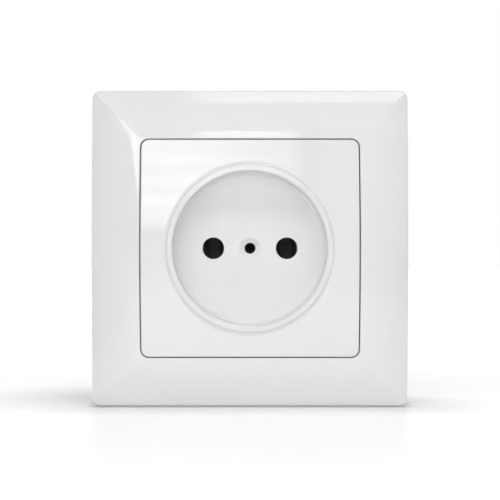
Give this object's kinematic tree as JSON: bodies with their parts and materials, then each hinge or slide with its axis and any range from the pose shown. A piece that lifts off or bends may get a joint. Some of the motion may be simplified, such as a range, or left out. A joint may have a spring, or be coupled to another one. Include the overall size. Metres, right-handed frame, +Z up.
{
  "type": "unearthed wall socket",
  "caption": "Flush wall socket without earth contact: square curved frame, crowned cover with a round plug well, steel strap with side claws, contacts in a moulded base.",
  "frame": {"origin": "the socket's centre on the wall plane, midway between the two wall slots at the strap's back face", "axes": "+X to the right seen from the room, +Z up, the socket faces -Y and its base goes into the wall along +Y"},
  "size_m": [0.0812, 0.0365, 0.0812],
  "materials": {
    "frame_plastic": "moulded white thermoplastic, glossy",
    "cover_plastic": "moulded white thermoplastic, glossy",
    "base_plastic": "moulded dark grey insulating plastic, satin",
    "inner_plastic": "moulded dark grey insulating plastic, satin",
    "contact_brass": "stamped and folded, bare",
    "nut_brass": "turned, bare",
    "strap_steel": "stamped sheet, zinc plated",
    "claw_steel": "stamped and bent strip, zinc plated",
    "pin_steel": "drawn wire, zinc plated",
    "spring_steel": "folded strip, oiled",
    "terminal_steel": "zinc plated",
    "screw_steel": "zinc plated"
  },
  "bodies": {
    "socket": {"frame": "frame_plastic", "cover": "cover_plastic", "base": "base_plastic", "inner_plate": "inner_plastic", "contact_left": "contact_brass", "contact_right": "contact_brass", "centre_nut": "nut_brass", "mounting_strap": "strap_steel", "claw_pin_left": "pin_steel", "claw_pin_right": "pin_steel", "contact_spring_left": "spring_steel", "contact_spring_right": "spring_steel", "terminal_clamp_left": "terminal_steel", "terminal_clamp_right": "terminal_steel", "terminal_screw_left": "terminal_steel", "terminal_screw_right": "terminal_steel", "base_screws": "screw_steel", "claw_screws": "screw_steel"},
    "claw_left": {"claw_left": "claw_steel"},
    "claw_right": {"claw_right": "claw_steel"}
  },
  "joints": [
    {"name": "claw_left_swing", "type": "hinge", "parent": "socket", "child": "claw_left", "pos_m": [-0.0278, 0.0032, 0], "axis": [0, 0, 1], "range_deg": [0, 25]},
    {"name": "claw_right_swing", "type": "hinge", "parent": "socket", "child": "claw_right", "pos_m": [0.0278, 0.0032, 0], "axis": [0, 0, -1], "range_deg": [0, 25]}
  ]
}
